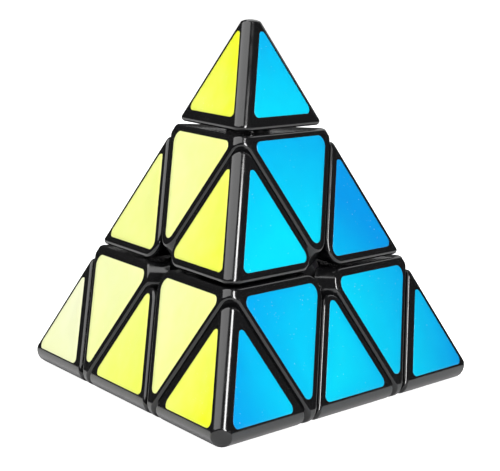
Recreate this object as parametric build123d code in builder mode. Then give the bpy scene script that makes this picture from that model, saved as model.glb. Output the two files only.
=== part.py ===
"""Pyramid twisty puzzle: four turning corner layers, four turning tips, held on a four-armed core.

The frame's origin is the middle of the core, where the four turning axes cross. +Z runs up through
the top corner, and the front corner points towards -Y.
"""
from build123d import *
from itertools import combinations
from math import sqrt
import os

os.makedirs("parts", exist_ok=True)

# Driving dimensions, in millimetres
SHARP_EDGE = 105.5        # edge of the pyramid before its edges and corners are rounded
EDGE_ROUNDING = 2.6       # radius along the six outer edges and round the four corners
CORNER_ROUNDING = 4.2     # radius of each piece's corner at the middle of a face
BLUNT_HEIGHT = 58.85      # middle to the top of the low dome that blunts each tip
BLUNT_RADIUS = 5.0
BLUNT_RIM = 0.5           # radius round the dome's rim
RIM_ROUNDING = 0.8        # small radius round the outline of each piece
LAYER_GAP = 0.5           # running gap between neighbouring pieces
TIP_GAP = 0.8             # running gap under a tip
SHELL_WALL = 2.0          # moulded wall of the hollow pieces
GLUE_GAP = 0.05           # between two mouldings that are glued together
PLUG_DEPTH = 4.0          # how far a foot's plug reaches into its edge piece

CORE_BALL_RADIUS = 9.0
CORE_GAP = 0.3            # between the core ball and everything that turns round it
CAGE_RADIUS = 17.5        # ball-shaped space in which the feet of the edge pieces run
FOOT_CUT = 2.5            # distance from the core's middle to the planes that bound the feet
POST_RADIUS = 3.1
POST_TOP = 14.6
STEM_RADIUS = 5.6
STEM_BORE_RADIUS = 3.4
COLLAR_RADIUS = 7.2       # upper, thicker part of the stem, round the spring and the tip's peg
SPRING_SEAT = 15.0        # height of the shelf that the spring pushes on
SPRING_POCKET_RADIUS = 4.4
SCREW_RADIUS = 1.5
SCREW_END = 4.0
SCREW_POINT_LENGTH = 1.2
SCREW_POINT_TAPER = 0.6
SCREW_HEAD_RADIUS = 3.2
SCREW_HEAD_HEIGHT = 2.4
SCREW_HEAD_CHAMFER = 0.9
SCREW_CLEARANCE = 0.05
SCREW_HOLE_DEPTH = 0.5    # how far the core's hole goes on past the screw's point
CROSS_LENGTH = 2.8
CROSS_WIDTH = 0.6
CROSS_DEPTH = 1.3
WASHER_RADIUS = 4.1
WASHER_THICKNESS = 0.6
WASHER_BORE_GAP = 0.2
WASHER_ROUNDING = 0.12
SEATING_GAP = 0.05        # left between parts that press on each other
SPRING_TOP = 20.4
SPRING_WIRE = 0.35        # radius of the spring's wire
SPRING_SIDE_GAP = 0.2
SPRING_TURNS = 4
PEG_BORE_RADIUS = 5.0
PEG_BORE_FLOOR = 25.0
PEG_RADIUS = 4.7
PEG_WALL = 1.4
PEG_END = 26.5
PEG_CHAMFER = 0.5
PEG_CHAMFER_LENGTH = 0.8
PEG_BEAD = 0.7            # half the length of the bead that snaps into the groove
PEG_BEAD_GAP = 0.35
PEG_ROOT = 1.0            # how far the peg reaches into the tip's plate
PEG_SLOT = 1.2
PEG_SLOT_MARGIN = 1.5     # left between the slots' ends and the tip's plane
GROOVE_RADIUS = 5.6
GROOVE_HEIGHT = 29.5
GROOVE_WIDTH = 2.4
STICKER_RECESS = 0.2
STICKER_THICKNESS = 0.15
STICKER_SIDE_GAP = 0.08
STICKER_FLOAT = 0.01      # thickness of the glue under a sticker
OVERLAP = 1.0             # how far one shape is carried into another that it joins or cuts

# Places of the sticker edges, measured on a face
TIP_STICKER_SIDE = 3.72       # from the sharp outer edge
TIP_STICKER_BASE = 3.29       # from the line between tip and centre piece
CENTRE_STICKER_TOP = 1.65     # from the line between tip and centre piece
CENTRE_STICKER_SIDE = 2.0     # from the line between centre and edge piece
EDGE_STICKER_OUTSIDE = 3.73   # from the sharp outer edge
EDGE_STICKER_SIDE = 2.46      # from the line between edge and centre piece

# Radii of the sticker corners: at the apex, and at the two ends of the base
TIP_STICKER_RADII = (1.25, 1.2)
CENTRE_STICKER_RADII = (1.95, 1.8)
EDGE_STICKER_RADII = (1.5, 1.2)

# Sizes that follow from the regular pyramid
CORNER_DISTANCE = SHARP_EDGE * sqrt(6) / 4     # middle to a sharp corner
FACE_DISTANCE = CORNER_DISTANCE / 3            # middle to a face
LAYER_CUT = CORNER_DISTANCE / 9                # middle to the plane under a corner layer
TIP_CUT = CORNER_DISTANCE * 5 / 9              # middle to the plane under a tip
THIRD = SHARP_EDGE * sqrt(3) / 6               # spacing of the lines that divide a face
CAGE_INSIDE = CAGE_RADIUS - LAYER_GAP / 2
CAGE_OUTSIDE = CAGE_RADIUS + LAYER_GAP / 2
TURNING_INSIDE = CORE_BALL_RADIUS + CORE_GAP
BLOCK = 4 * SHARP_EDGE                         # a block larger than the puzzle, to cut pieces from

CORNERS = {
    "top": Vector(0, 0, 1),
    "front": Vector(0, -sqrt(8) / 3, -1 / 3),
    "left": Vector(-sqrt(2 / 3), sqrt(2) / 3, -1 / 3),
    "right": Vector(sqrt(2 / 3), sqrt(2) / 3, -1 / 3),
}
TOP, FRONT, LEFT, RIGHT = CORNERS.values()
EDGE_STICKER_RIGHT_HANDED = TOP.cross(FRONT).dot(RIGHT) > 0
BASE_CORNERS = (FRONT, LEFT, RIGHT)

# Each face is named by the corner that it lies opposite
FACE_COLOURS = {"right": "yellow", "left": "blue", "front": "green", "top": "red"}

# Outlines of the three kinds of sticker: apex height, base height, apex radius, base radius
TIP_OUTLINE = (2 * (THIRD - TIP_STICKER_SIDE), THIRD + TIP_STICKER_BASE, *TIP_STICKER_RADII)
CENTRE_OUTLINE = (2 * CENTRE_STICKER_SIDE, THIRD - CENTRE_STICKER_TOP, *CENTRE_STICKER_RADII)
EDGE_OUTLINE = (-2 * EDGE_STICKER_SIDE, -THIRD + EDGE_STICKER_OUTSIDE, *EDGE_STICKER_RADII)


def keep_below(direction, distance):
    """Trim the piece being built to the side of a turning plane that is nearer the middle."""
    split(bisect_by=Plane(origin=direction * distance, z_dir=direction), keep=Keep.BOTTOM)


def keep_above(direction, distance):
    """Trim the piece being built to the side of a turning plane that is nearer the corner."""
    split(bisect_by=Plane(origin=direction * distance, z_dir=direction), keep=Keep.TOP)


def seat(first, second):
    """Turn of the whole pyramid that takes the top corner to first and the front corner to second."""
    towards_second = second - first * second.dot(first)
    return Plane(origin=(0, 0, 0), x_dir=first.cross(towards_second), z_dir=first).location


def face_plane(upwards, opposite):
    """Plane of the face opposite one corner, its Y pointing to another, its origin mid-face."""
    y_direction = upwards - opposite * upwards.dot(opposite)
    outwards = opposite * -1
    return Plane(origin=outwards * FACE_DISTANCE, x_dir=y_direction.cross(outwards), z_dir=outwards)


def is_outer_skin(face):
    """True for the flat outside of a piece and for its share of the rounded outer edges."""
    if face.geom_type == GeomType.PLANE:
        normal = face.normal_at()
        looks_out = any((normal + corner).length < 1e-3 for corner in CORNERS.values())
        return looks_out and abs(face.center().dot(normal) - FACE_DISTANCE) < 1e-3
    is_round = face.geom_type in (GeomType.CYLINDER, GeomType.SPHERE)
    return is_round and abs(face.radius - EDGE_ROUNDING) < 1e-3


def outside_rim(piece):
    """Edges where the outer skin of a piece ends, all round its outline."""
    skin_edges = [edge for face in piece.faces().filter_by(is_outer_skin) for edge in face.edges()]
    return ShapeList([edge for edge in skin_edges if skin_edges.count(edge) == 1])


def cut_recesses(kind, planes):
    """Shallow beds for the stickers, a little larger than the stickers."""
    for plane in planes:
        with BuildSketch(plane) as bed:
            add(outlines[kind])
            offset(amount=STICKER_SIDE_GAP)
        extrude(bed.sketch, amount=-STICKER_RECESS, mode=Mode.SUBTRACT)


# ---- The whole pyramid with its rounded outer edges; every outer piece is cut from this block
with BuildPart() as pyramid:
    Box(BLOCK, BLOCK, BLOCK)
    for corner in CORNERS.values():
        keep_above(corner, -FACE_DISTANCE)
    fillet(pyramid.edges(), radius=EDGE_ROUNDING)

# ---- Sticker outlines, each a flat sketch on its own XY plane
outlines = {}
for kind, (apex, base, apex_radius, base_radius) in {
    "tip": TIP_OUTLINE, "centre": CENTRE_OUTLINE, "edge": EDGE_OUTLINE,
}.items():
    half_width = abs(apex - base) / sqrt(3)
    with BuildSketch(Plane.XY) as outline:
        Polygon((0, apex), (-half_width, base), (half_width, base), align=None)
        apex_corner = outline.vertices().sort_by(lambda vertex: abs(vertex.X))[:1]
        base_corners = outline.vertices().sort_by(lambda vertex: abs(vertex.X))[1:]
        fillet(apex_corner, radius=apex_radius)
        fillet(base_corners, radius=base_radius)
    outlines[kind] = outline.sketch

# ---- Tip: a hollow cap, closed underneath by a plate with the peg that snaps into the centre piece
tip_underside = TIP_CUT + TIP_GAP / 2

with BuildPart() as tip_cavity:
    Box(BLOCK, BLOCK, BLOCK)
    for corner in BASE_CORNERS:
        keep_above(corner, -FACE_DISTANCE + SHELL_WALL)
    keep_above(TOP, TIP_CUT)

# what the low dome leaves of the pyramid's own rounded corner
with BuildPart() as sharp_top:
    Cylinder(BLUNT_RADIUS / 2, 2 * BLUNT_RADIUS, align=(Align.CENTER, Align.CENTER, Align.MIN))
    Sphere(BLUNT_RADIUS, mode=Mode.SUBTRACT)

with BuildPart() as tip_cap:
    add(pyramid.part)
    keep_above(TOP, tip_underside)
    fillet(outside_rim(tip_cap), radius=RIM_ROUNDING)
    with Locations((0, 0, BLUNT_HEIGHT - BLUNT_RADIUS)):
        add(sharp_top.part, mode=Mode.SUBTRACT)
    dome_rim = tip_cap.edges().filter_by(lambda edge: edge.is_closed).sort_by(Axis.Z)[-1:]
    fillet(dome_rim, radius=BLUNT_RIM)
    add(tip_cavity.part, mode=Mode.SUBTRACT)
    cut_recesses("tip", [face_plane(TOP, corner) for corner in BASE_CORNERS])

with BuildPart() as tip_peg:
    Box(BLOCK, BLOCK, BLOCK)
    for corner in BASE_CORNERS:
        keep_above(corner, -FACE_DISTANCE + SHELL_WALL + GLUE_GAP)
    keep_above(TOP, tip_underside)
    keep_below(TOP, tip_underside + SHELL_WALL)
    with BuildSketch(Plane.XZ):
        with BuildLine():
            Polyline(
                (PEG_RADIUS - PEG_WALL, PEG_END),
                (PEG_RADIUS - PEG_CHAMFER, PEG_END),
                (PEG_RADIUS, PEG_END + PEG_CHAMFER_LENGTH),
                (PEG_RADIUS, GROOVE_HEIGHT - PEG_BEAD),
                (GROOVE_RADIUS - PEG_BEAD_GAP, GROOVE_HEIGHT),
                (PEG_RADIUS, GROOVE_HEIGHT + PEG_BEAD),
                (PEG_RADIUS, tip_underside + PEG_ROOT),
                (PEG_RADIUS - PEG_WALL, tip_underside + PEG_ROOT),
                close=True,
            )
        make_face()
    revolve(axis=Axis.Z)
    with BuildSketch(Plane.XY.offset(PEG_END)):
        with PolarLocations(0, 2):
            Rectangle(4 * PEG_RADIUS, PEG_SLOT)
    extrude(amount=TIP_CUT - PEG_END - PEG_SLOT_MARGIN, mode=Mode.SUBTRACT)

# ---- Centre piece: the triangular shell under a tip, hollow, with the stem that turns on a post
centre_top = TIP_CUT - TIP_GAP / 2
centre_bottom = LAYER_CUT + LAYER_GAP / 2
centre_side = LAYER_CUT - LAYER_GAP / 2

with BuildPart() as centre_cavity:
    Box(BLOCK, BLOCK, BLOCK)
    for corner in BASE_CORNERS:
        keep_below(corner, centre_side - SHELL_WALL)
        keep_above(corner, -FACE_DISTANCE + SHELL_WALL)
    keep_above(TOP, centre_bottom + SHELL_WALL)
    keep_below(TOP, centre_top - SHELL_WALL)
    Cylinder(COLLAR_RADIUS, BLOCK, mode=Mode.SUBTRACT)

with BuildPart() as centre_piece:
    Box(BLOCK, BLOCK, BLOCK)
    for corner in BASE_CORNERS:
        keep_below(corner, centre_side)
    fillet(centre_piece.edges().sort_by_distance(TOP * -FACE_DISTANCE)[:3], radius=CORNER_ROUNDING)
    add(pyramid.part, mode=Mode.INTERSECT)
    keep_above(TOP, centre_bottom)
    keep_below(TOP, centre_top)
    fillet(outside_rim(centre_piece), radius=RIM_ROUNDING)
    cut_recesses("centre", [face_plane(TOP, corner) for corner in BASE_CORNERS])
    Sphere(CAGE_OUTSIDE, mode=Mode.SUBTRACT)
    add(centre_cavity.part, mode=Mode.SUBTRACT)
    # the stem, its two bores and the groove that the tip's peg snaps into
    with BuildSketch(Plane.XY):
        Circle(STEM_RADIUS)
    extrude(amount=CAGE_OUTSIDE + 2 * OVERLAP)
    Sphere(TURNING_INSIDE, mode=Mode.SUBTRACT)
    with BuildSketch(Plane.XZ):
        with BuildLine():
            Polyline(
                (0, 0),
                (STEM_BORE_RADIUS, 0),
                (STEM_BORE_RADIUS, SPRING_SEAT),
                (SPRING_POCKET_RADIUS, SPRING_SEAT),
                (SPRING_POCKET_RADIUS, PEG_BORE_FLOOR),
                (PEG_BORE_RADIUS, PEG_BORE_FLOOR),
                (PEG_BORE_RADIUS, GROOVE_HEIGHT - GROOVE_WIDTH / 2),
                (GROOVE_RADIUS, GROOVE_HEIGHT - GROOVE_WIDTH / 4),
                (GROOVE_RADIUS, GROOVE_HEIGHT + GROOVE_WIDTH / 4),
                (PEG_BORE_RADIUS, GROOVE_HEIGHT + GROOVE_WIDTH / 2),
                (PEG_BORE_RADIUS, centre_top + OVERLAP),
                (0, centre_top + OVERLAP),
                close=True,
            )
        make_face()
    revolve(axis=Axis.Z, mode=Mode.SUBTRACT)

# ---- Edge piece: a hollow shell between two centre pieces, open towards the middle
edge_side = LAYER_CUT + LAYER_GAP / 2
along_edge = (TOP + FRONT).normalized()
ridge_middle = along_edge * (edge_side / along_edge.dot(TOP))

with BuildPart() as edge_cavity:
    Box(BLOCK, BLOCK, BLOCK)
    for corner in (TOP, FRONT):
        keep_above(corner, edge_side + SHELL_WALL)
    for corner in (LEFT, RIGHT):
        keep_above(corner, -FACE_DISTANCE + SHELL_WALL)

with BuildPart() as edge_piece:
    Box(BLOCK, BLOCK, BLOCK)
    for corner in (TOP, FRONT):
        keep_above(corner, edge_side)
    fillet(edge_piece.edges().sort_by_distance(ridge_middle)[:1], radius=CORNER_ROUNDING)
    add(pyramid.part, mode=Mode.INTERSECT)
    fillet(outside_rim(edge_piece), radius=RIM_ROUNDING)
    cut_recesses("edge", [face_plane(LEFT, RIGHT), face_plane(RIGHT, LEFT)])
    Sphere(CAGE_OUTSIDE, mode=Mode.SUBTRACT)
    add(edge_cavity.part, mode=Mode.SUBTRACT)

# ---- Foot: closes an edge piece from inside and hooks under its neighbours, inside the cage
with BuildPart() as plug:
    Sphere(CAGE_OUTSIDE + PLUG_DEPTH)
    Sphere(CAGE_INSIDE - OVERLAP, mode=Mode.SUBTRACT)
    for corner in (TOP, FRONT):
        keep_above(corner, edge_side + SHELL_WALL + GLUE_GAP)
    for corner in (LEFT, RIGHT):
        keep_above(corner, -FACE_DISTANCE + SHELL_WALL + GLUE_GAP)
        keep_below(corner, FOOT_CUT - LAYER_GAP / 2)

with BuildPart() as foot:
    Sphere(CAGE_INSIDE)
    Sphere(TURNING_INSIDE, mode=Mode.SUBTRACT)
    for corner in (TOP, FRONT):
        keep_above(corner, FOOT_CUT + LAYER_GAP / 2)
    for corner in (LEFT, RIGHT):
        keep_below(corner, FOOT_CUT - LAYER_GAP / 2)
    add(plug.part)

# ---- Core: a ball with four posts, each drilled for its screw
core_turns = [seat(TOP, FRONT), seat(FRONT, TOP), seat(LEFT, TOP), seat(RIGHT, TOP)]

with BuildPart() as core:
    Sphere(CORE_BALL_RADIUS)
    with Locations(*core_turns):
        Cylinder(POST_RADIUS, POST_TOP, align=(Align.CENTER, Align.CENTER, Align.MIN))
    with Locations(*[turn * Location((0, 0, SCREW_END - SCREW_HOLE_DEPTH)) for turn in core_turns]):
        Cylinder(
            SCREW_RADIUS + SCREW_CLEARANCE,
            POST_TOP,
            align=(Align.CENTER, Align.CENTER, Align.MIN),
            mode=Mode.SUBTRACT,
        )

# ---- Screw, washer and spring of one axis; the spring presses the centre piece towards the core
washer_base = SPRING_TOP + SEATING_GAP
screw_shoulder = washer_base + WASHER_THICKNESS + SEATING_GAP

with BuildPart() as screw:
    with BuildSketch(Plane.XZ):
        with BuildLine():
            Polyline(
                (0, SCREW_END),
                (SCREW_RADIUS - SCREW_POINT_TAPER, SCREW_END),
                (SCREW_RADIUS, SCREW_END + SCREW_POINT_LENGTH),
                (SCREW_RADIUS, screw_shoulder),
                (SCREW_HEAD_RADIUS, screw_shoulder),
                (SCREW_HEAD_RADIUS, screw_shoulder + SCREW_HEAD_HEIGHT - SCREW_HEAD_CHAMFER),
                (SCREW_HEAD_RADIUS - SCREW_HEAD_CHAMFER, screw_shoulder + SCREW_HEAD_HEIGHT),
                (0, screw_shoulder + SCREW_HEAD_HEIGHT),
                close=True,
            )
        make_face()
    revolve(axis=Axis.Z)
    with BuildSketch(Plane.XY.offset(screw_shoulder + SCREW_HEAD_HEIGHT)):
        Rectangle(CROSS_LENGTH, CROSS_WIDTH)
        Rectangle(CROSS_WIDTH, CROSS_LENGTH)
    extrude(amount=-CROSS_DEPTH, mode=Mode.SUBTRACT)

with BuildPart() as washer:
    with BuildSketch(Plane.XY.offset(washer_base)):
        Circle(WASHER_RADIUS)
        Circle(SCREW_RADIUS + WASHER_BORE_GAP, mode=Mode.SUBTRACT)
    extrude(amount=WASHER_THICKNESS)
    fillet(washer.edges(), radius=WASHER_ROUNDING)

spring_base = SPRING_SEAT + SPRING_WIRE + SEATING_GAP
spring_rise = SPRING_TOP - SPRING_WIRE - SEATING_GAP - spring_base
spring_radius = SPRING_POCKET_RADIUS - SPRING_WIRE - SPRING_SIDE_GAP

with BuildPart() as spring:
    with BuildLine():
        coil = Helix(
            pitch=spring_rise / SPRING_TURNS,
            height=spring_rise,
            radius=spring_radius,
            center=(0, 0, spring_base),
        )
    with BuildSketch(Plane(origin=coil @ 0, z_dir=coil % 0)):
        Circle(SPRING_WIRE)
    sweep()

# ---- Stickers: thin vinyl lying in the recesses, just below the rim
stickers = {}
for kind in outlines:
    plane = face_plane(LEFT, RIGHT) if kind == "edge" else face_plane(TOP, FRONT)
    with BuildPart() as sticker:
        with BuildSketch(plane.offset(STICKER_FLOAT - STICKER_RECESS)):
            add(outlines[kind])
        extrude(amount=STICKER_THICKNESS)
    stickers[kind] = sticker.part


def write(name, *pieces_and_seats):
    """Place copies of a finished piece and write them as one named part."""
    with BuildPart() as placed:
        for piece, turns in pieces_and_seats:
            with Locations(*turns):
                add(piece)
    placed.part.label = name
    export_step(placed.part, f"parts/{name}.step")
    print(name, len(placed.solids()), round(placed.part.volume, 1), placed.part.is_valid)


write("core", (core.part, [Location()]))
write("axis_screws", (screw.part, core_turns))
write("axis_washers", (washer.part, core_turns))
write("axis_springs", (spring.part, core_turns))

for name, corner in CORNERS.items():
    turn = seat(corner, FRONT if corner is TOP else TOP)
    write(f"centre_{name}", (centre_piece.part, [turn]))
    write(f"tip_{name}", (tip_cap.part, [turn]), (tip_peg.part, [turn]))
    for opposite, colour in FACE_COLOURS.items():
        if opposite != name:
            turn_to_face = seat(corner, CORNERS[opposite])
            write(f"sticker_{colour}_centre_{name}", (stickers["centre"], [turn_to_face]))
            write(f"sticker_{colour}_tip_{name}", (stickers["tip"], [turn_to_face]))

for first, second in combinations(CORNERS, 2):
    turn = seat(CORNERS[first], CORNERS[second])
    write(f"edge_{first}_{second}", (edge_piece.part, [turn]))
    write(f"foot_{first}_{second}", (foot.part, [turn]))
    for opposite, colour in FACE_COLOURS.items():
        if opposite not in (first, second):
            # the edge sticker is drawn on the face opposite the right corner, between top and front
            right_handed = CORNERS[first].cross(CORNERS[second]).dot(CORNERS[opposite]) > 0
            pair = (first, second) if right_handed == EDGE_STICKER_RIGHT_HANDED else (second, first)
            turn_to_face = seat(CORNERS[pair[0]], CORNERS[pair[1]])
            write(f"sticker_{colour}_edge_{first}_{second}", (stickers["edge"], [turn_to_face]))
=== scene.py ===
from itertools import combinations
from math import cos, pi, radians, sin, sqrt

import bpy
from mathutils import Matrix, Vector


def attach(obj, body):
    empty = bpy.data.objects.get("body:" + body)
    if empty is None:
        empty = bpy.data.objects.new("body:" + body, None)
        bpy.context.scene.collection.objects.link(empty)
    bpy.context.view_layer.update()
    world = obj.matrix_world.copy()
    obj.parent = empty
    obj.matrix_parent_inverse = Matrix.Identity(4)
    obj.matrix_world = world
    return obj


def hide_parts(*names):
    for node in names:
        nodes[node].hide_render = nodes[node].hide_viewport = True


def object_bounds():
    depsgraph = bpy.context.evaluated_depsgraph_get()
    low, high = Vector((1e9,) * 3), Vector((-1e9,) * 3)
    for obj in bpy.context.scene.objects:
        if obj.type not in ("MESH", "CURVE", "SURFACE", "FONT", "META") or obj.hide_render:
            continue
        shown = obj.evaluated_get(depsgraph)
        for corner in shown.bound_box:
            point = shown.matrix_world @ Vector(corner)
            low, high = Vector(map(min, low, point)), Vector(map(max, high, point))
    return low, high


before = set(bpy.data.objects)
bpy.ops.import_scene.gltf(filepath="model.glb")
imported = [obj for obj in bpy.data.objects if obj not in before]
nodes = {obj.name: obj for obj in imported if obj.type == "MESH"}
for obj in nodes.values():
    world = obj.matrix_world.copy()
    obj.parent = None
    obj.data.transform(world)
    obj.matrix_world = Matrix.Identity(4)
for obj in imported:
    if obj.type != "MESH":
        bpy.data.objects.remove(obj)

cad_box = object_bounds()


# ---- The core ----------------------------------------------------------------------------------
# A ball with four posts, moulded in one piece from black nylon. It never turns: each post carries
# one corner layer and is drilled for that layer's screw.
MM = 0.001
CORE_BLACK = (0.014, 0.014, 0.015)
CORE_RUBBED = (0.045, 0.045, 0.047)
CORE_ROUGHNESS = 0.42
CORE_GRAIN = 0.5 * MM
CORE_GRAIN_HEIGHT = 0.02 * MM
POLISHED_PATCH = 14 * MM      # size of the patches that hands polish
POLISH = 0.25                 # share of the roughness that polishing takes off
WEAR_REACH = 0.7 * MM
WEAR_BREAK_UP = 1.5 * MM
SMUDGE_SIZE = 9 * MM
SPECK_SIZE = 0.5 * MM
DUST_PALENESS = 4             # how many times paler than rubbed plastic the dust is


def add_node(tree, kind, settings=(), inputs=()):
    """Add one node to a tree. An input is a plain value, or the output socket that feeds it."""
    node = tree.nodes.new(kind)
    for name, value in dict(settings).items():
        setattr(node, name, value)
    for name, value in dict(inputs).items():
        if isinstance(value, bpy.types.NodeSocket):
            tree.links.new(value, node.inputs[name])
        else:
            node.inputs[name].default_value = value
    return node


def calculate(tree, operation, *values, clamp=False):
    """The result of a Math node; each value is a number, or the output socket that feeds it."""
    settings = {"operation": operation, "use_clamp": clamp}
    return add_node(tree, "ShaderNodeMath", settings, dict(enumerate(values))).outputs[0]


def start_group(name, kind, inputs, outputs):
    """An empty node group with named inputs, each with its first value, and named outputs."""
    group = bpy.data.node_groups.new(name, kind)
    for label, (socket_type, value) in inputs.items():
        socket = group.interface.new_socket(label, in_out="INPUT", socket_type=socket_type)
        if value is not None:
            socket.default_value = value
    for label, socket_type in outputs.items():
        group.interface.new_socket(label, in_out="OUTPUT", socket_type=socket_type)
    source = group.nodes.new("NodeGroupInput")
    sink = group.nodes.new("NodeGroupOutput")
    return group, source.outputs, sink.inputs


def make_moulded_grain():
    """Shader group: the faint pebbling that a mould leaves, and the patches where hands polish it."""
    group, given, result = start_group(
        "moulded grain", "ShaderNodeTree",
        {"Grain Size": ("NodeSocketFloat", CORE_GRAIN), "Patch Size": ("NodeSocketFloat", POLISHED_PATCH)},
        {"Height": "NodeSocketFloat", "Polish": "NodeSocketFloat"},
    )
    place = add_node(group, "ShaderNodeTexCoord").outputs["Object"]
    grain_scale = calculate(group, "DIVIDE", 1.0, given["Grain Size"])
    patch_scale = calculate(group, "DIVIDE", 1.0, given["Patch Size"])
    pebbles = add_node(
        group, "ShaderNodeTexNoise", {},
        {"Vector": place, "Scale": grain_scale, "Detail": 3.0, "Roughness": 0.55},
    )
    patches = add_node(
        group, "ShaderNodeTexNoise", {},
        {"Vector": place, "Scale": patch_scale, "Detail": 4.0, "Distortion": 0.6},
    )
    polish = add_node(
        group, "ShaderNodeMapRange", {"interpolation_type": "SMOOTHSTEP"},
        {"Value": patches.outputs["Fac"], "From Min": 0.38, "From Max": 0.66},
    )
    group.links.new(pebbles.outputs["Fac"], result["Height"])
    group.links.new(polish.outputs["Result"], result["Polish"])
    return group


def make_edge_wear():
    """Shader group: how far an outward edge is rubbed, found by how thin the solid is under a point."""
    group, given, result = start_group(
        "edge wear", "ShaderNodeTree",
        {"Reach": ("NodeSocketFloat", WEAR_REACH), "Strength": ("NodeSocketFloat", 1.0),
         "Break-up Size": ("NodeSocketFloat", WEAR_BREAK_UP)},
        {"Wear": "NodeSocketFloat"},
    )
    depth = add_node(
        group, "ShaderNodeAmbientOcclusion", {"inside": True, "only_local": True, "samples": 8},
        {"Distance": given["Reach"]},
    )
    edge = add_node(
        group, "ShaderNodeMapRange", {}, {"Value": depth.outputs["AO"], "From Min": 0.92, "From Max": 0.35},
    )
    place = add_node(group, "ShaderNodeTexCoord").outputs["Object"]
    scale = calculate(group, "DIVIDE", 1.0, given["Break-up Size"])
    breaks = add_node(
        group, "ShaderNodeTexNoise", {}, {"Vector": place, "Scale": scale, "Detail": 5.0},
    )
    kept = add_node(
        group, "ShaderNodeMapRange", {},
        {"Value": breaks.outputs["Fac"], "From Min": 0.35, "From Max": 0.65, "To Min": 0.35},
    )
    broken = calculate(group, "MULTIPLY", edge.outputs["Result"], kept.outputs["Result"])
    wear = calculate(group, "MULTIPLY", broken, given["Strength"], clamp=True)
    group.links.new(wear, result["Wear"])
    return group


def make_handling_marks():
    """Shader group: soft finger smudges that dull a gloss, and fine pale specks of dust."""
    group, given, result = start_group(
        "handling marks", "ShaderNodeTree",
        {"Smudge Size": ("NodeSocketFloat", SMUDGE_SIZE), "Speck Size": ("NodeSocketFloat", SPECK_SIZE)},
        {"Smudges": "NodeSocketFloat", "Dust": "NodeSocketFloat"},
    )
    place = add_node(group, "ShaderNodeTexCoord").outputs["Object"]
    smudge_scale = calculate(group, "DIVIDE", 1.0, given["Smudge Size"])
    speck_scale = calculate(group, "DIVIDE", 1.0, given["Speck Size"])
    smears = add_node(
        group, "ShaderNodeTexNoise", {},
        {"Vector": place, "Scale": smudge_scale, "Detail": 6.0, "Distortion": 1.4},
    )
    smudges = add_node(
        group, "ShaderNodeMapRange", {"interpolation_type": "SMOOTHSTEP"},
        {"Value": smears.outputs["Fac"], "From Min": 0.42, "From Max": 0.72},
    )
    specks = add_node(
        group, "ShaderNodeTexVoronoi", {"feature": "F1"},
        {"Vector": place, "Scale": speck_scale, "Randomness": 1.0},
    )
    dots = add_node(
        group, "ShaderNodeMapRange", {},
        {"Value": specks.outputs["Distance"], "From Min": 0.09, "From Max": 0.05},
    )
    sparse = add_node(
        group, "ShaderNodeMapRange", {},
        {"Value": smears.outputs["Fac"], "From Min": 0.5, "From Max": 0.62},
    )
    dust = calculate(group, "MULTIPLY", dots.outputs["Result"], sparse.outputs["Result"])
    group.links.new(smudges.outputs["Result"], result["Smudges"])
    group.links.new(dust, result["Dust"])
    return group


moulded_grain = make_moulded_grain()
edge_wear = make_edge_wear()
handling_marks = make_handling_marks()


def new_finish(name):
    """A new node material: its tree and the Principled shader in it."""
    finish = bpy.data.materials.new(name)
    finish.use_nodes = True
    return finish, finish.node_tree, finish.node_tree.nodes["Principled BSDF"]


def mix_colours(tree, factor, first, second):
    """The colour between two colours; each is three numbers or an output socket."""
    mixer = add_node(tree, "ShaderNodeMix", {"data_type": "RGBA", "clamp_factor": True})
    tree.links.new(factor, mixer.inputs["Factor"])
    for name, colour in (("A", first), ("B", second)):
        socket = [s for s in mixer.inputs if s.name == name and s.type == "RGBA"][0]
        if isinstance(colour, bpy.types.NodeSocket):
            tree.links.new(colour, socket)
        else:
            socket.default_value = (*colour, 1.0)
    return [s for s in mixer.outputs if s.type == "RGBA"][0]


def moulded_plastic(name, colour, rubbed, roughness, grain_size, grain_height, wear, smudge):
    """Injection-moulded plastic: pebbled by the mould, rubbed paler on its edges, dulled by fingers."""
    finish, tree, shader = new_finish(name)
    grain = add_node(tree, "ShaderNodeGroup", {"node_tree": moulded_grain}, {"Grain Size": grain_size})
    edges = add_node(tree, "ShaderNodeGroup", {"node_tree": edge_wear}, {"Strength": wear})
    marks = add_node(tree, "ShaderNodeGroup", {"node_tree": handling_marks})
    worn = mix_colours(tree, edges.outputs["Wear"], colour, rubbed)
    dusty = mix_colours(tree, marks.outputs["Dust"], worn, [DUST_PALENESS * part for part in rubbed])
    tree.links.new(dusty, shader.inputs["Base Color"])
    dulled = calculate(tree, "MULTIPLY_ADD", marks.outputs["Smudges"], smudge, roughness)
    polished = calculate(
        tree, "MULTIPLY_ADD", grain.outputs["Polish"], -POLISH * roughness, dulled, clamp=True,
    )
    tree.links.new(polished, shader.inputs["Roughness"])
    bump = add_node(
        tree, "ShaderNodeBump", {}, {"Height": grain.outputs["Height"], "Distance": grain_height},
    )
    tree.links.new(bump.outputs["Normal"], shader.inputs["Normal"])
    return finish


def dress(name, finish):
    """Give a part of the frame its finish, in its first material slot."""
    nodes[name].material_slots[0].material = finish


core_plastic = moulded_plastic(
    "core nylon", CORE_BLACK, CORE_RUBBED, CORE_ROUGHNESS, CORE_GRAIN, CORE_GRAIN_HEIGHT,
    wear=0.6, smudge=0.04,
)
dress("core", core_plastic)


# ---- The screws and washers ----------------------------------------------------------------------
# Four pan-head screws of zinc-plated steel, each with a loose washer under its head. They clamp
# the springs, and are set so that the layers turn freely.
ZINC = (0.62, 0.63, 0.66)
ZINC_TINT = (0.55, 0.53, 0.44)
ZINC_ROUGHNESS = 0.3
ZINC_PATCH = 1.1 * MM
RING_SIZE = MM / 6            # spacing of the turned rings
RING_HEIGHT = 0.006 * MM
RING_DULLING = 0.18           # how much the rings change the roughness, from ridge to groove


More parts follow.
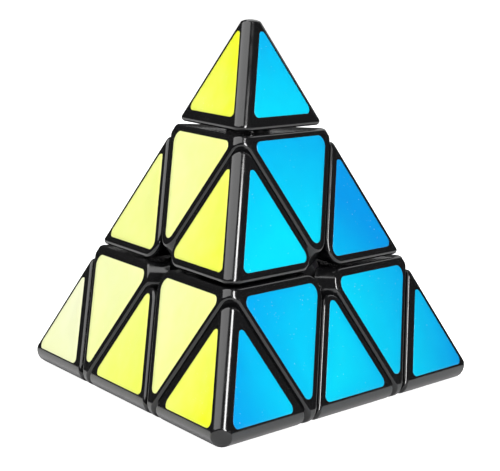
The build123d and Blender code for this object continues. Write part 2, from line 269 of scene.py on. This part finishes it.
def plated_steel(name, colour, tint, roughness, patch_size):
    """Plated steel: a bright coat with faint coloured patches and turned rings that scatter the light."""
    finish, tree, shader = new_finish(name)
    shader.inputs["Metallic"].default_value = 1.0
    clouds = add_node(tree, "ShaderNodeGroup", {"node_tree": moulded_grain}, {"Patch Size": patch_size})
    tree.links.new(mix_colours(tree, clouds.outputs["Polish"], colour, tint), shader.inputs["Base Color"])
    place = add_node(tree, "ShaderNodeTexCoord").outputs["Object"]
    rings = add_node(
        tree, "ShaderNodeTexNoise", {}, {"Vector": place, "Scale": 1 / RING_SIZE, "Detail": 2.0},
    )
    dulled = calculate(tree, "MULTIPLY_ADD", rings.outputs["Fac"], RING_DULLING, roughness - RING_DULLING / 2)
    tree.links.new(dulled, shader.inputs["Roughness"])
    bump = add_node(
        tree, "ShaderNodeBump", {}, {"Height": rings.outputs["Fac"], "Distance": RING_HEIGHT},
    )
    tree.links.new(bump.outputs["Normal"], shader.inputs["Normal"])
    return finish


zinc = plated_steel("zinc plate", ZINC, ZINC_TINT, ZINC_ROUGHNESS, ZINC_PATCH)
for name in ("axis_screws", "axis_washers"):
    dress(name, zinc)


# ---- The springs ---------------------------------------------------------------------------------
# One coil spring of hard-drawn steel wire round each screw, between the washer and a shelf inside
# the centre piece. Its end coils are wound flat.
WIRE_STEEL = (0.47, 0.47, 0.49)
WIRE_STEEL_TINT = (0.4, 0.38, 0.35)
WIRE_ROUGHNESS = 0.26
WIRE_RADIUS = 0.35 * MM
COIL_RADIUS = 3.85 * MM
COIL_BASE = 15.4 * MM
COIL_RISE = 4.6 * MM
COIL_TURNS = 5.0
FLAT_SHARE = 0.14             # share of the wire that lies flat at each end
WIRE_POINTS = 150
WIRE_SIDES = 10
CORNERS = {
    "top": Vector((0, 0, 1)),
    "front": Vector((0, -sqrt(8) / 3, -1 / 3)),
    "left": Vector((-sqrt(2 / 3), sqrt(2) / 3, -1 / 3)),
    "right": Vector((sqrt(2 / 3), sqrt(2) / 3, -1 / 3)),
}


def make_spring_tree():
    """Geometry Nodes: a wire wound round +Z with flat end coils, repeated along every axis given."""
    tree, given, result = start_group(
        "coil springs", "GeometryNodeTree",
        {"Axes": ("NodeSocketGeometry", None), "Coil Radius": ("NodeSocketFloat", COIL_RADIUS),
         "Wire Radius": ("NodeSocketFloat", WIRE_RADIUS), "Base": ("NodeSocketFloat", COIL_BASE),
         "Rise": ("NodeSocketFloat", COIL_RISE), "Turns": ("NodeSocketFloat", COIL_TURNS),
         "Flat Share": ("NodeSocketFloat", FLAT_SHARE), "Finish": ("NodeSocketMaterial", None)},
        {"Springs": "NodeSocketGeometry"},
    )
    line = add_node(tree, "GeometryNodeCurvePrimitiveLine")
    points = add_node(
        tree, "GeometryNodeResampleCurve", {"mode": "COUNT"},
        {"Curve": line.outputs["Curve"], "Count": WIRE_POINTS},
    )
    along = add_node(tree, "GeometryNodeSplineParameter").outputs["Factor"]
    angle = calculate(tree, "MULTIPLY", along, given["Turns"])
    turned = calculate(tree, "MULTIPLY", angle, 2 * pi)
    across = calculate(tree, "COSINE", turned)
    sideways = calculate(tree, "SINE", turned)
    last = calculate(tree, "SUBTRACT", 1.0, given["Flat Share"])
    climb = add_node(
        tree, "ShaderNodeMapRange", {},
        {"Value": along, "From Min": given["Flat Share"], "From Max": last},
    )
    rise = calculate(tree, "MULTIPLY_ADD", climb.outputs["Result"], given["Rise"], given["Base"])
    x = calculate(tree, "MULTIPLY", across, given["Coil Radius"])
    y = calculate(tree, "MULTIPLY", sideways, given["Coil Radius"])
    place = add_node(
        tree, "ShaderNodeCombineXYZ", {}, {"X": x, "Y": y, "Z": rise},
    )
    wound = add_node(
        tree, "GeometryNodeSetPosition", {},
        {"Geometry": points.outputs["Curve"], "Position": place.outputs[0]},
    )
    section = add_node(
        tree, "GeometryNodeCurvePrimitiveCircle", {},
        {"Resolution": WIRE_SIDES, "Radius": given["Wire Radius"]},
    )
    wire = add_node(
        tree, "GeometryNodeCurveToMesh", {},
        {"Curve": wound.outputs["Geometry"], "Profile Curve": section.outputs["Curve"], "Fill Caps": True},
    )
    direction = add_node(tree, "GeometryNodeInputPosition").outputs["Position"]
    aimed = add_node(tree, "FunctionNodeAlignRotationToVector", {"axis": "Z"}, {"Vector": direction})
    turn = add_node(
        tree, "GeometryNodeCaptureAttribute", {"domain": "POINT"}, {"Geometry": given["Axes"]},
    )
    turn.capture_items.new("ROTATION", "Turn")
    tree.links.new(aimed.outputs["Rotation"], turn.inputs["Turn"])
    crossing = add_node(tree, "FunctionNodeInputVector", {"vector": (0.0, 0.0, 0.0)}).outputs["Vector"]
    centred = add_node(
        tree, "GeometryNodeSetPosition", {}, {"Geometry": turn.outputs["Geometry"], "Position": crossing},
    )
    springs = add_node(
        tree, "GeometryNodeInstanceOnPoints", {},
        {"Points": centred.outputs["Geometry"], "Instance": wire.outputs["Mesh"],
         "Rotation": turn.outputs["Turn"]},
    )
    real = add_node(tree, "GeometryNodeRealizeInstances", {}, {"Geometry": springs.outputs["Instances"]})
    smooth = add_node(tree, "GeometryNodeSetShadeSmooth", {}, {"Geometry": real.outputs["Geometry"]})
    dressed = add_node(
        tree, "GeometryNodeSetMaterial", {},
        {"Geometry": smooth.outputs["Geometry"], "Material": given["Finish"]},
    )
    tree.links.new(dressed.outputs["Geometry"], result["Springs"])
    return tree


def grow(name, tree, carrier, values):
    """Run a Geometry Nodes tree on a carrier mesh and return its result as a plain mesh object."""
    grower = bpy.data.objects.new(name + "_grower", carrier)
    bpy.context.scene.collection.objects.link(grower)
    modifier = grower.modifiers.new("grow", "NODES")
    modifier.node_group = tree
    for socket in tree.interface.items_tree:
        if socket.in_out == "INPUT" and socket.name in values:
            modifier[socket.identifier] = values[socket.name]
    evaluated = grower.evaluated_get(bpy.context.evaluated_depsgraph_get())
    mesh = bpy.data.meshes.new_from_object(evaluated)
    bpy.data.objects.remove(grower)
    piece = bpy.data.objects.new(name, mesh)
    mesh.name = name
    bpy.context.scene.collection.objects.link(piece)
    return piece


spring_steel = plated_steel("spring wire", WIRE_STEEL, WIRE_STEEL_TINT, WIRE_ROUGHNESS, ZINC_PATCH)
four_axes = bpy.data.meshes.new("four axes")
four_axes.from_pydata(list(CORNERS.values()), [], [])
spring_coils = grow(
    "spring_coils", make_spring_tree(), four_axes,
    {"Coil Radius": COIL_RADIUS, "Wire Radius": WIRE_RADIUS, "Base": COIL_BASE, "Rise": COIL_RISE,
     "Turns": COIL_TURNS, "Flat Share": FLAT_SHARE, "Finish": spring_steel},
)
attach(spring_coils, "core")
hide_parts("axis_springs")


# ---- The feet of the edge pieces -------------------------------------------------------------------
# Six hooked feet of plain black plastic, one glued into each edge piece. They run in the ball-shaped
# space round the core, and keep the edge pieces from falling out.
FOOT_BLACK = (0.010, 0.010, 0.011)
FOOT_RUBBED = (0.05, 0.05, 0.052)
FOOT_ROUGHNESS = 0.38
FOOT_GRAIN = 0.4 * MM
FOOT_GRAIN_HEIGHT = 0.015 * MM

foot_plastic = moulded_plastic(
    "foot plastic", FOOT_BLACK, FOOT_RUBBED, FOOT_ROUGHNESS, FOOT_GRAIN, FOOT_GRAIN_HEIGHT,
    wear=0.9, smudge=0.05,
)
for first, second in combinations(CORNERS, 2):
    dress(f"foot_{first}_{second}", foot_plastic)


# ---- The black shells ------------------------------------------------------------------------------
# Four centre pieces, six edge pieces and four tips, hollow mouldings of glossy black plastic with
# rounded rims. The centre pieces turn on the posts, and the tips snap into them on slotted pegs.
SHELL_BLACK = (0.0035, 0.0035, 0.0038)
SHELL_RUBBED = (0.02, 0.02, 0.021)
SHELL_ROUGHNESS = 0.13
SHELL_GRAIN = 0.35 * MM
SHELL_GRAIN_HEIGHT = 0.0012 * MM
SHELL_IOR = 1.53

black_plastic = moulded_plastic(
    "shell plastic", SHELL_BLACK, SHELL_RUBBED, SHELL_ROUGHNESS, SHELL_GRAIN, SHELL_GRAIN_HEIGHT,
    wear=0.6, smudge=0.07,
)
black_plastic.node_tree.nodes["Principled BSDF"].inputs["IOR"].default_value = SHELL_IOR
for corner in CORNERS:
    dress(f"centre_{corner}", black_plastic)
    dress(f"tip_{corner}", black_plastic)
for first, second in combinations(CORNERS, 2):
    dress(f"edge_{first}_{second}", black_plastic)


# ---- The stickers ----------------------------------------------------------------------------------
# Thirty-six rounded triangles, die-cut from glossy vinyl and pressed into the shallow beds of the
# shells: nine of one colour on each face. The cut leaves a soft shoulder round each one.
FACE_COLOURS = {"right": "yellow", "left": "blue", "front": "green", "top": "red"}
# each vinyl: its full colour, its colour paled by a painted sheen of reflected light, and the place that
# painted sheen is strongest towards
VINYLS = {
    "yellow": ((0.72, 0.79, 0.02), (0.79, 0.81, 0.60), (-0.06, 0.0, 0.03)),
    "blue": ((0.0, 0.182, 0.46), (0.0, 0.41, 0.54), (0.02, -0.02, -0.01)),
    "green": ((0.006, 0.20, 0.04), (0.03, 0.40, 0.12), (0.02, 0.03, 0.03)),
    "red": ((0.48, 0.008, 0.008), (0.66, 0.05, 0.04), (-0.02, 0.0, -0.02)),
}
FACE_DISTANCE = -cad_box[0].z
THIRD = FACE_DISTANCE * sqrt(2)
STICKER_SUNK = 0.19 * MM      # a sticker's underside, below the face round it
STICKER_THICKNESS = 0.15 * MM
STICKER_CROWN = 0.025 * MM
STICKER_SHOULDER = 0.09 * MM
TIP_SIDE, TIP_BASE = 3.72 * MM, 3.29 * MM           # from the outer edge, and from the centre piece
CENTRE_SIDE, CENTRE_TOP = 2.0 * MM, 1.65 * MM       # from the edge piece, and from the tip
EDGE_SIDE, EDGE_OUTSIDE = 2.46 * MM, 3.73 * MM      # from the centre piece, and from the outer edge
# places on a face of each kind's apex and base, from the middle of the face towards a corner, and
# the radii of their corners
STICKER_OUTLINES = {
    "tip": (2 * (THIRD - TIP_SIDE), THIRD + TIP_BASE, 1.25 * MM, 1.2 * MM),
    "centre": (2 * CENTRE_SIDE, THIRD - CENTRE_TOP, 1.95 * MM, 1.8 * MM),
    "edge": (-2 * EDGE_SIDE, -THIRD + EDGE_OUTSIDE, 1.5 * MM, 1.2 * MM),
}
# how strongly a painted sheen of reflected light pales each sticker: the usual value of each kind, and the
# stickers that differ from it
USUAL_PAINTED_SHEEN = {"tip": 0.45, "centre": 0.58, "edge": 0.55}
PAINTED_SHEEN_BY_STICKER = {
    "yellow_tip_top": 0.09, "yellow_tip_front": 0.12, "yellow_tip_left": 0.82,
    "yellow_centre_top": 0.48, "yellow_centre_front": 0.49, "yellow_centre_left": 0.61,
    "yellow_edge_top_front": 0.18, "yellow_edge_top_left": 0.42, "yellow_edge_front_left": 0.24,
    "blue_tip_top": 0.7, "blue_tip_front": 0.43, "blue_tip_right": 0.46, "blue_centre_right": 0.63,
    "blue_edge_top_front": 0.93, "blue_edge_top_right": 0.06, "blue_edge_front_right": 0.85,
}
# how much the painted sheen changes from the middle of a sticker to its edge
PAINTED_SHEEN_SPREAD = {"yellow": 0.12, "blue": 0.32, "green": 0.2, "red": 0.15}
PRINT_MOTTLE = 0.12
MOTTLE_SIZE = 4 * MM
VINYL_ROUGHNESS = 0.2
VINYL_SMUDGE = 0.05
VINYL_SPECK = 0.8 * MM
PEEL_SIZE = MM / 0.9          # size of the gloss's faint waves
PEEL_HEIGHT = 0.004 * MM
CORNER_STEPS = 9
SHOULDER_STEPS = 3
CROWN_STEPS = 6


def make_sticker_tree():
    """Geometry Nodes: a rounded equilateral triangle with a soft shoulder and a faint crown."""
    tree, given, result = start_group(
        "vinyl sticker", "GeometryNodeTree",
        {"Apex": ("NodeSocketFloat", 0.02), "Base": ("NodeSocketFloat", 0.0),
         "Apex Radius": ("NodeSocketFloat", 1.5 * MM), "Base Radius": ("NodeSocketFloat", 1.2 * MM),
         "Thickness": ("NodeSocketFloat", STICKER_THICKNESS),
         "Shoulder": ("NodeSocketFloat", STICKER_SHOULDER), "Crown": ("NodeSocketFloat", STICKER_CROWN),
         "Finish": ("NodeSocketMaterial", None)},
        {"Sticker": "NodeSocketGeometry"},
    )
    height = calculate(tree, "SUBTRACT", given["Apex"], given["Base"])
    reach = calculate(tree, "MULTIPLY", height, 2 / 3)
    middle = calculate(tree, "MULTIPLY_ADD", height, 1 / 3, given["Base"])
    triangle = add_node(tree, "GeometryNodeCurvePrimitiveCircle", {}, {"Resolution": 3, "Radius": 1.0})
    turned = add_node(
        tree, "GeometryNodeTransform", {},
        {"Geometry": triangle.outputs["Curve"], "Rotation": (0.0, 0.0, pi / 2)},
    )
    position = add_node(tree, "GeometryNodeInputPosition").outputs["Position"]
    sized = add_node(
        tree, "ShaderNodeVectorMath", {"operation": "SCALE"}, {0: position, "Scale": reach},
    )
    centre = add_node(tree, "ShaderNodeCombineXYZ", {}, {"Y": middle})
    moved = add_node(
        tree, "ShaderNodeVectorMath", {"operation": "ADD"}, {0: sized.outputs[0], 1: centre.outputs[0]},
    )
    outline = add_node(
        tree, "GeometryNodeSetPosition", {},
        {"Geometry": turned.outputs["Geometry"], "Position": moved.outputs[0]},
    )
    number = add_node(tree, "GeometryNodeInputIndex").outputs["Index"]
    at_apex = add_node(tree, "FunctionNodeCompare", {"data_type": "INT", "operation": "EQUAL"})
    tree.links.new(number, [s for s in at_apex.inputs if s.name == "A" and s.type == "INT"][0])
    radius = add_node(
        tree, "GeometryNodeSwitch", {"input_type": "FLOAT"},
        {"Switch": at_apex.outputs["Result"], "False": given["Base Radius"], "True": given["Apex Radius"]},
    )
    rounded = add_node(
        tree, "GeometryNodeFilletCurve", {"mode": "POLY"},
        {"Curve": outline.outputs["Geometry"], "Radius": radius.outputs["Output"], "Count": CORNER_STEPS},
    )
    flat = add_node(tree, "GeometryNodeFillCurve", {"mode": "NGONS"}, {"Curve": rounded.outputs["Curve"]})
    inner_radius = calculate(tree, "ABSOLUTE", height)
    inset = calculate(tree, "DIVIDE", given["Shoulder"], inner_radius)
    side = calculate(tree, "SUBTRACT", given["Thickness"], given["Shoulder"])
    top, selection = flat.outputs["Mesh"], None

    def rise(top, selection, by, shrink):
        """Raise the top face by a height and shrink it towards the middle; returns the new top."""
        raised = add_node(
            tree, "GeometryNodeExtrudeMesh", {"mode": "FACES"}, {"Mesh": top, "Individual": False},
        )
        if selection is not None:
            tree.links.new(selection, raised.inputs["Selection"])
        upwards = raised.inputs["Offset"]
        tree.links.new(add_node(tree, "ShaderNodeCombineXYZ", {}, {"Z": by}).outputs[0], upwards)
        shrunk = add_node(
            tree, "GeometryNodeScaleElements", {"domain": "FACE"},
            {"Geometry": raised.outputs["Mesh"], "Selection": raised.outputs["Top"], "Scale": shrink,
             "Center": centre.outputs[0]},
        )
        return shrunk.outputs["Geometry"], raised.outputs["Top"]

    top, selection = rise(top, selection, side, 1.0)
    for step in range(SHOULDER_STEPS):
        # a quarter round: the height follows the sine of the angle and the inset follows the cosine
        past, angle = [pi / 2 * count / SHOULDER_STEPS for count in (step, step + 1)]
        climb = calculate(tree, "MULTIPLY", given["Shoulder"], sin(angle) - sin(past))
        shrink = calculate(tree, "MULTIPLY", inset, -3 * (cos(past) - cos(angle)))
        left = calculate(tree, "ADD", shrink, 1.0)
        top, selection = rise(top, selection, climb, left)
    for step in range(CROWN_STEPS):
        # the crown falls off with the square of the distance from the middle
        outer, inner = 1 - step / (CROWN_STEPS + 1), 1 - (step + 1) / (CROWN_STEPS + 1)
        climb = calculate(tree, "MULTIPLY", given["Crown"], outer ** 2 - inner ** 2)
        top, selection = rise(top, selection, climb, inner / outer)
    smooth = add_node(tree, "GeometryNodeSetShadeSmooth", {}, {"Geometry": top})
    real = add_node(tree, "GeometryNodeRealizeInstances", {}, {"Geometry": smooth.outputs["Geometry"]})
    dressed = add_node(
        tree, "GeometryNodeSetMaterial", {},
        {"Geometry": real.outputs["Geometry"], "Material": given["Finish"]},
    )
    tree.links.new(dressed.outputs["Geometry"], result["Sticker"])
    return tree


def glossy_vinyl(name, colour, painted_sheen_colour):
    """Printed vinyl under a gloss: its colour pales under a painted sheen of reflected light and a random
    mottle, fingers dull it and dust settles on it.
    """
    finish, tree, shader = new_finish(name)
    painted_sheen = add_node(tree, "ShaderNodeAttribute", {"attribute_name": "painted_sheen"}).outputs["Fac"]
    place = add_node(tree, "ShaderNodeTexCoord").outputs["Object"]
    mottle = add_node(
        tree, "ShaderNodeTexNoise", {}, {"Vector": place, "Scale": 1 / MOTTLE_SIZE, "Detail": 3.0},
    )
    # a painted sheen of reflected light, set per sticker, plus a random mottle, pales the print towards its
    # sheen colour
    painted_sheen_and_mottle = calculate(tree, "MULTIPLY_ADD", mottle.outputs["Fac"], PRINT_MOTTLE, painted_sheen, clamp=True)
    marks = add_node(tree, "ShaderNodeGroup", {"node_tree": handling_marks}, {"Speck Size": VINYL_SPECK})
    print_and_painted_sheen = mix_colours(tree, painted_sheen_and_mottle, colour, painted_sheen_colour)
    dusty = mix_colours(tree, marks.outputs["Dust"], print_and_painted_sheen, [0.6 + 0.4 * part for part in colour])
    tree.links.new(dusty, shader.inputs["Base Color"])
    dulled = calculate(tree, "MULTIPLY_ADD", marks.outputs["Smudges"], VINYL_SMUDGE, VINYL_ROUGHNESS)
    tree.links.new(dulled, shader.inputs["Roughness"])
    peel = add_node(tree, "ShaderNodeTexNoise", {}, {"Vector": place, "Scale": 1 / PEEL_SIZE, "Detail": 1.0})
    bump = add_node(tree, "ShaderNodeBump", {}, {"Height": peel.outputs["Fac"], "Distance": PEEL_HEIGHT})
    tree.links.new(bump.outputs["Normal"], shader.inputs["Normal"])
    return finish


def face_place(upwards, opposite):
    """Where a flat piece goes on the face opposite one corner, its Y towards another corner."""
    outwards = -CORNERS[opposite]
    y_direction = (CORNERS[upwards] - outwards * CORNERS[upwards].dot(outwards)).normalized()
    turn = Matrix((y_direction.cross(outwards), y_direction, outwards)).transposed()
    return Matrix.Translation(outwards * (FACE_DISTANCE - STICKER_SUNK)) @ turn.to_4x4()


def lay_sticker(name, kind, colour, upwards, opposite, body):
    """Cut one sticker, press it into its bed and let it ride with its piece."""
    apex, base, apex_radius, base_radius = STICKER_OUTLINES[kind]
    sticker = grow(
        name, sticker_tree, no_carrier,
        {"Apex": apex, "Base": base, "Apex Radius": apex_radius, "Base Radius": base_radius,
         "Thickness": STICKER_THICKNESS, "Shoulder": STICKER_SHOULDER, "Crown": STICKER_CROWN,
         "Finish": vinyls[colour]},
    )
    sticker.data.transform(face_place(upwards, opposite))
    middle = sum((v.co for v in sticker.data.vertices), Vector()) / len(sticker.data.vertices)
    # a painted sheen of reflected light: each sticker pales towards the place given for its colour, by the
    # amount given for it
    painted_sheen_towards = Vector(VINYLS[colour][2])
    usual = PAINTED_SHEEN_BY_STICKER.get(name.removeprefix("vinyl_"), USUAL_PAINTED_SHEEN[kind]) - PRINT_MOTTLE / 2
    painted_sheen = sticker.data.attributes.new("painted_sheen", "FLOAT", "POINT")
    for vertex, value in zip(sticker.data.vertices, painted_sheen.data):
        nearer = (middle - painted_sheen_towards).length - (vertex.co - painted_sheen_towards).length
        value.value = usual + PAINTED_SHEEN_SPREAD[colour] * nearer / (abs(apex - base) / 2)
    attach(sticker, body)
    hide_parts("sticker_" + name.removeprefix("vinyl_"))


vinyls = {colour: glossy_vinyl(colour + " vinyl", *tones[:2]) for colour, tones in VINYLS.items()}
sticker_tree = make_sticker_tree()
no_carrier = bpy.data.meshes.new("no carrier")
for opposite, colour in FACE_COLOURS.items():
    face_corners = [corner for corner in CORNERS if corner != opposite]
    for corner in face_corners:
        lay_sticker(f"vinyl_{colour}_tip_{corner}", "tip", colour, corner, opposite, f"tip_{corner}")
        lay_sticker(f"vinyl_{colour}_centre_{corner}", "centre", colour, corner, opposite, f"layer_{corner}")
    for first, second in combinations(face_corners, 2):
        third = [corner for corner in face_corners if corner not in (first, second)][0]
        edge = f"edge_{first}_{second}"
        lay_sticker(f"vinyl_{colour}_{edge}", "edge", colour, third, opposite, edge)


# ---- The stage -------------------------------------------------------------------------------------
# A white table, one large soft light high on the left, a narrow one over the front edge, and weak
# ones behind and to the right, so that every side can be seen.
FLOOR_HALF_SIZE = 8.0
TABLE_GLOW = 1.05         # as the camera sees it; the puzzle only gets what the lights give it
TABLE_WHITE = 0.7
DIM_ROOM = 0.05

table = bpy.data.meshes.new("table")
table.from_pydata(
    [
        (x * FLOOR_HALF_SIZE, y * FLOOR_HALF_SIZE, cad_box[0].z)
        for x, y in ((-1, -1), (1, -1), (1, 1), (-1, 1))
    ],
    [], [(0, 1, 2, 3)],
)
floor = bpy.data.objects.new("floor", table)
bpy.context.scene.collection.objects.link(floor)
white, white_tree, white_shader = new_finish("white table")
white_shader.inputs["Base Color"].default_value = (TABLE_WHITE, TABLE_WHITE, TABLE_WHITE, 1.0)
white_shader.inputs["Roughness"].default_value = 0.8
white_shader.inputs["Emission Color"].default_value = (1.0, 1.0, 1.0, 1.0)
in_sight = add_node(white_tree, "ShaderNodeLightPath").outputs["Is Camera Ray"]
glow = calculate(white_tree, "MULTIPLY", in_sight, TABLE_GLOW)
white_tree.links.new(glow, white_shader.inputs["Emission Strength"])
table.materials.append(white)


def soft_light(name, middle, upwards, width, height, radiance):
    """A rectangular soft light that faces the puzzle, with an even brightness."""
    lamp = bpy.data.lights.new(name, "AREA")
    lamp.shape = "RECTANGLE"
    lamp.size = width
    lamp.size_y = height
    lamp.energy = radiance * pi * width * height
    light = bpy.data.objects.new(name, lamp)
    away = Vector(middle).normalized()
    sideways = Vector(upwards).cross(away).normalized()
    light.matrix_world = Matrix((sideways, away.cross(sideways), away)).transposed().to_4x4()
    light.location = middle
    bpy.context.scene.collection.objects.link(light)


soft_light("left softbox", (-0.496, -0.113, 0.755), (0, 0, 1), 1.05, 1.0, 3.1)
soft_light("front strip", (0.34, -0.633, 0.468), (-0.145, 0.771, 0.62), 0.2, 0.9, 25.0)
soft_light("back softbox", (0.28, 0.94, 0.67), (0, 0, 1), 1.0, 0.8, 0.9)
soft_light("right fill", (1.29, -0.34, 0.34), (0, 0, 1), 0.5, 0.5, 0.8)

room = bpy.data.worlds.new("room")
bpy.context.scene.world = room
room.use_nodes = True
air = room.node_tree
seen = add_node(air, "ShaderNodeLightPath").outputs["Is Camera Ray"]
brightness = calculate(air, "MULTIPLY_ADD", seen, 1.0 - DIM_ROOM, DIM_ROOM)
air.links.new(brightness, air.nodes["Background"].inputs["Strength"])
air.nodes["Background"].inputs["Color"].default_value = (1.0, 1.0, 1.0, 1.0)
bpy.context.scene.view_settings.view_transform = "Standard"


# ---- The camera --------------------------------------------------------------------------------------
# It looks at the front edge from a little to the right and a little above, with a long lens.
AIM = Vector((1.03, 0.0, 12.67)) * MM
CAMERA_DISTANCE = 469.39 * MM
CAMERA_TURN = radians(3.594)
CAMERA_RISE = radians(7.461)
CAMERA_ROLL = radians(1.529)

lens = bpy.data.cameras.new("camera")
lens.lens = 157.59
lens.sensor_width = 36.0
lens.clip_start = 0.01
lens.clip_end = 50.0
camera = bpy.data.objects.new("camera", lens)
bpy.context.scene.collection.objects.link(camera)
level = Matrix.Rotation(CAMERA_TURN, 4, "Z") @ Matrix.Rotation(pi / 2 - CAMERA_RISE, 4, "X")
rolled = level @ Matrix.Rotation(CAMERA_ROLL, 4, "Z")
camera.matrix_world = Matrix.Translation(AIM) @ rolled @ Matrix.Translation((0, 0, CAMERA_DISTANCE))
bpy.context.scene.camera = camera
